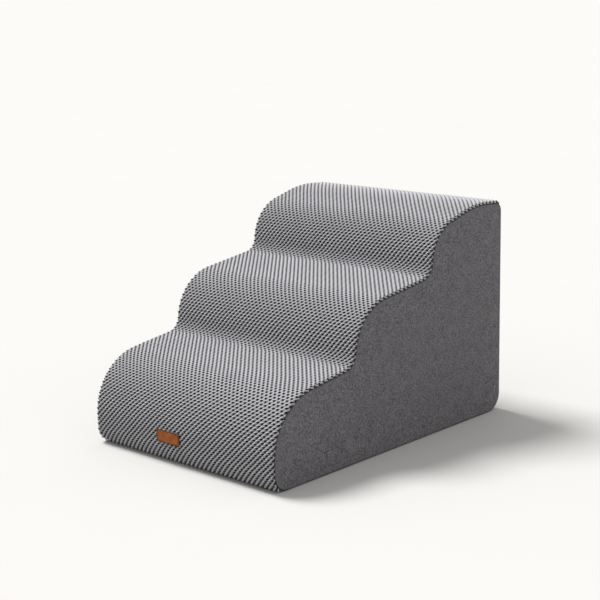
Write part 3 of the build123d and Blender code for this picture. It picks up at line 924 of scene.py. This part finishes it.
class STAIRS_OT_leather_tag(bpy.types.Operator):
    """The small bare leather tag on the front, with its burnished edge and end stitches"""

    bl_idname = "stairs.leather_tag"
    bl_label = "Leather Tag"

    def execute(self, context):
        settings = context.scene.stairs_tag
        low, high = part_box("leather_tag")
        size, middle = high - low, (low + high) / 2
        shape = bmesh.new()
        place = Matrix.Translation(middle) @ Matrix.Diagonal((*size, 1))
        bmesh.ops.create_cube(shape, size=1, matrix=place)
        depths = [(edge, abs(edge.verts[0].co.y - edge.verts[1].co.y)) for edge in shape.edges]
        self.round_off(shape, [edge for edge, depth in depths if depth > size.y / 2], settings.corner, 6)
        front = min(shape.faces, key=lambda face: face.calc_center_median().y)
        self.round_off(shape, list(front.edges), 0.0005, 3)
        shape.faces.ensure_lookup_table()
        front = min(shape.faces, key=lambda face: (face.calc_center_median().y, -face.calc_area()))
        for face in shape.faces:
            face.material_index = 1
        front.material_index = 0
        for thickness, depth, slot in TAG_RINGS:
            made = bmesh.ops.inset_region(
                shape, faces=[front], thickness=thickness, depth=depth, use_even_offset=True
            )
            for face in made["faces"]:
                face.material_index = slot
        bmesh.ops.recalc_face_normals(shape, faces=shape.faces[:])
        mesh = mesh_from(shape, "tag_leather_piece")
        mesh.materials.append(leather_finish("tan_leather", settings.leather))
        mesh.materials.append(leather_finish("burnished_leather", settings.burnished))
        tag = add_piece("tag_leather_piece", mesh)
        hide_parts("leather_tag")
        self.stitches()
        return {"FINISHED"}

    def round_off(self, shape, edges, width, segments):
        """Rounds edges of the tag."""
        bmesh.ops.bevel(
            shape, geom=edges, offset=width, affect="EDGES", segments=segments, profile=0.5, material=-1
        )

    def stitches(self):
        """Short plump threads across each end of the tag."""
        low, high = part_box("tag_stitches")
        shape = bmesh.new()
        pitch = (high.z - low.z - 2 * TAG_ROW_END) / (TAG_THREADS - 1)
        for x in (low.x + 0.0004, high.x - 0.0004):
            for row in range(TAG_THREADS):
                place = (x, high.y - 0.0001, low.z + TAG_ROW_END + row * pitch)
                add_thread(shape, place, TAG_THREAD, around=10, along=8)
        mesh = mesh_from(shape, "tag_thread_stitches")
        mesh.materials.append(plain_finish("brown_thread", (0.10, 0.042, 0.018), 0.7, 3000.0, 0.0001, 0.3))
        piece = add_piece("tag_thread_stitches", mesh)
        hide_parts("tag_stitches")


class STAIRS_OT_zip(bpy.types.Operator):
    """The zip's tapes and its topstitching, and better finishes for its teeth, stops, slider and pull"""

    bl_idname = "stairs.zip"
    bl_label = "Zip"

    def execute(self, context):
        settings = context.scene.stairs_zip
        weave = tape_finish(settings.tape)
        for half in ("upper", "lower"):
            low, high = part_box("zip_tape_" + half)
            size, middle = high - low, (low + high) / 2
            shape = bmesh.new()
            upright = Matrix.Rotation(math.radians(-90), 4, "X")
            place = Matrix.Diagonal((size.x, 1, size.z, 1)) @ upright
            place = Matrix.Translation((middle.x, high.y, middle.z)) @ place
            bmesh.ops.create_grid(shape, x_segments=132, y_segments=5, size=0.5, matrix=place)
            self.draw_together(shape, low.z, high.z, settings)
            shape.normal_update()
            shape.faces.ensure_lookup_table()
            if shape.faces[0].normal.y < 0:
                bmesh.ops.reverse_faces(shape, faces=shape.faces[:])
            mesh = mesh_from(shape, "zip_cloth_" + half)
            mesh.materials.append(weave)
            piece = add_piece(mesh.name, mesh)
            modifier(piece, "SOLIDIFY", "thickness", thickness=size.y, offset=-1)
            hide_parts("zip_tape_" + half)
        resin = plain_finish("moulded_resin", settings.resin, 0.42, 800.0, 0.00005, 0.12)
        wear(("zip_teeth_upper", "zip_teeth_lower"), resin)
        metal = plain_finish(
            "lacquered_metal", settings.metal, 0.32, 260.0, 0.00004, 0.2, Metallic=0.6, Coat_Weight=0.4
        )
        wear(("zip_top_stops", "zip_bottom_stop", "zip_slider", "zip_pull_tab"), metal)
        self.topstitching(settings)
        return {"FINISHED"}

    def draw_together(self, shape, low_z, high_z, settings):
        """Brings a tape's inner edge to the zip's middle beyond the teeth, where it is sewn shut."""
        inner, outer = sorted((low_z, high_z), key=lambda height: abs(height - ZIP_HEIGHT))
        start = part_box("zip_teeth_upper")[1].x + settings.tape_close / 2
        for vert in shape.verts:
            reach = min(1.0, max(0.0, (abs(vert.co.x) - start) / settings.tape_close))
            reach = reach * reach * (3 - 2 * reach)
            share = (vert.co.z - inner) / (outer - inner)
            edge = inner + (ZIP_HEIGHT - inner) * reach
            vert.co.z = edge + (outer - edge) * share

    def topstitching(self, settings):
        """A row of threads above and below the zip, and a bar tack across each end."""
        back_y = SEAM_CORNERS[0][0]
        shape = bmesh.new()
        count = int(ZIP_ROW / settings.stitch_pitch)
        from_zip = ZIP_OPENING / 2 + ZIP_ROW_GAP
        for height in (ZIP_HEIGHT - from_zip, ZIP_HEIGHT + from_zip):
            for number in range(count):
                x = (number - (count - 1) / 2) * settings.stitch_pitch
                add_thread(shape, (x, back_y + 0.00005, height), ZIP_THREAD)
        for side in (-1, 1):
            for number in range(TACK_THREADS):
                slant = math.radians(7 if number % 2 else -7)
                z = ZIP_HEIGHT + (number - (TACK_THREADS - 1) / 2) * TACK_PITCH
                add_thread(shape, (side * TACK_PLACE, back_y + 0.0001, z), TACK_THREAD, slant)
        mesh = mesh_from(shape, "zip_topstitching")
        mesh.materials.append(plain_finish("grey_thread", (0.075, 0.073, 0.077), 0.75, 3000.0, 0.0001, 0.3))
        add_piece("zip_topstitching", mesh)


class STAIRS_OT_stage(bpy.types.Operator):
    """A pale floor, soft studio light and the camera"""

    bl_idname = "stairs.stage"
    bl_label = "Stage"

    def execute(self, context):
        settings = context.scene.stairs_stage
        self.floor(settings)
        self.sky(settings)
        self.key(settings)
        self.camera()
        return {"FINISHED"}

    def floor(self, settings):
        shape = bmesh.new()
        bmesh.ops.create_grid(shape, x_segments=1, y_segments=1, size=300)
        mesh = mesh_from(shape, "floor", smooth=False)
        finish = Finish("pale_floor")
        tone = finish.ramp(finish.noise(3.0), (0.3, shade(settings.floor, 0.99)), (0.7, settings.floor))
        tone = finish.mix(finish.seen(), (*settings.underfoot, 1), tone)
        finish.set(Base_Color=tone, Roughness=1.0, Specular_IOR_Level=0.0)
        mesh.materials.append(finish.material)
        add_object("floor", mesh)

    def sky(self, settings):
        world = bpy.data.worlds.new("soft_light")
        bpy.context.scene.world = world
        world.use_nodes = True
        nodes = Nodes(world.node_tree)
        light, pale = (
            nodes.add("ShaderNodeBackground", {"Color": (*colour, 1), "Strength": strength})
            for colour, strength in ((settings.sky_tint, settings.sky), (settings.backdrop, 1.0))
        )
        both = nodes.add("ShaderNodeMixShader", {0: nodes.seen(), 1: light, 2: pale})
        nodes.add("ShaderNodeOutputWorld", {"Surface": both})

    def key(self, settings):
        data = bpy.data.lights.new("key", "SUN")
        data.energy = settings.key
        data.angle = settings.key_spread
        lamp = add_object("key", data)
        lamp.rotation_euler = Vector(settings.key_way).to_track_quat("Z", "Y").to_euler()

    def camera(self):
        data = bpy.data.cameras.new("camera")
        data.lens = CAMERA_LENS
        data.sensor_width = 36
        data.clip_end = 100
        camera = add_object("camera", data)
        turn = Matrix.Rotation(CAMERA_TURN, 4, "Z")
        tilt = Matrix.Rotation(math.pi / 2 - CAMERA_DIP, 4, "X")
        roll = Matrix.Rotation(CAMERA_ROLL, 4, "Z")
        camera.matrix_world = Matrix.Translation(CAMERA_PLACE) @ turn @ tilt @ roll
        bpy.context.scene.camera = camera
        bpy.context.scene.view_settings.view_transform = "Standard"


class STAIRS_PT_sidebar(bpy.types.Panel):
    """The stairs' sizes, colours and pieces"""

    bl_idname = "STAIRS_PT_sidebar"
    bl_label = "Pet Stairs"
    bl_space_type = "VIEW_3D"
    bl_region_type = "UI"
    bl_category = "Stairs"

    def draw(self, context):
        for group in SETTINGS:
            settings = getattr(context.scene, group)
            box = self.layout.box()
            for name in settings.bl_rna.properties.keys():
                if name not in ("rna_type", "name"):
                    box.prop(settings, name)
        for operator in OPERATORS:
            self.layout.operator(operator.bl_idname)


SETTINGS = {
    "stairs_knit": StairsKnitSettings,
    "stairs_cloth": StairsClothSettings,
    "stairs_tag": StairsTagSettings,
    "stairs_zip": StairsZipSettings,
    "stairs_stage": StairsStageSettings,
}
OPERATORS = (
    STAIRS_OT_foam,
    STAIRS_OT_tread_knit,
    STAIRS_OT_side_panels,
    STAIRS_OT_back_panels,
    STAIRS_OT_base_panel,
    STAIRS_OT_leather_tag,
    STAIRS_OT_zip,
    STAIRS_OT_stage,
)


def register():
    for name, settings in SETTINGS.items():
        bpy.utils.register_class(settings)
        setattr(bpy.types.Scene, name, PointerProperty(type=settings))
    for operator in OPERATORS:
        bpy.utils.register_class(operator)
    bpy.utils.register_class(STAIRS_PT_sidebar)


def unregister():
    bpy.utils.unregister_class(STAIRS_PT_sidebar)
    for operator in reversed(OPERATORS):
        bpy.utils.unregister_class(operator)
    for name, settings in SETTINGS.items():
        delattr(bpy.types.Scene, name)
        bpy.utils.unregister_class(settings)


def main():
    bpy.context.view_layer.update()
    register()
    bpy.ops.stairs.foam()
    bpy.ops.stairs.tread_knit()
    bpy.ops.stairs.side_panels()
    bpy.ops.stairs.back_panels()
    bpy.ops.stairs.base_panel()
    bpy.ops.stairs.leather_tag()
    bpy.ops.stairs.zip()
    bpy.ops.stairs.stage()
    bpy.context.view_layer.update()


if __name__ == "__main__":
    main()
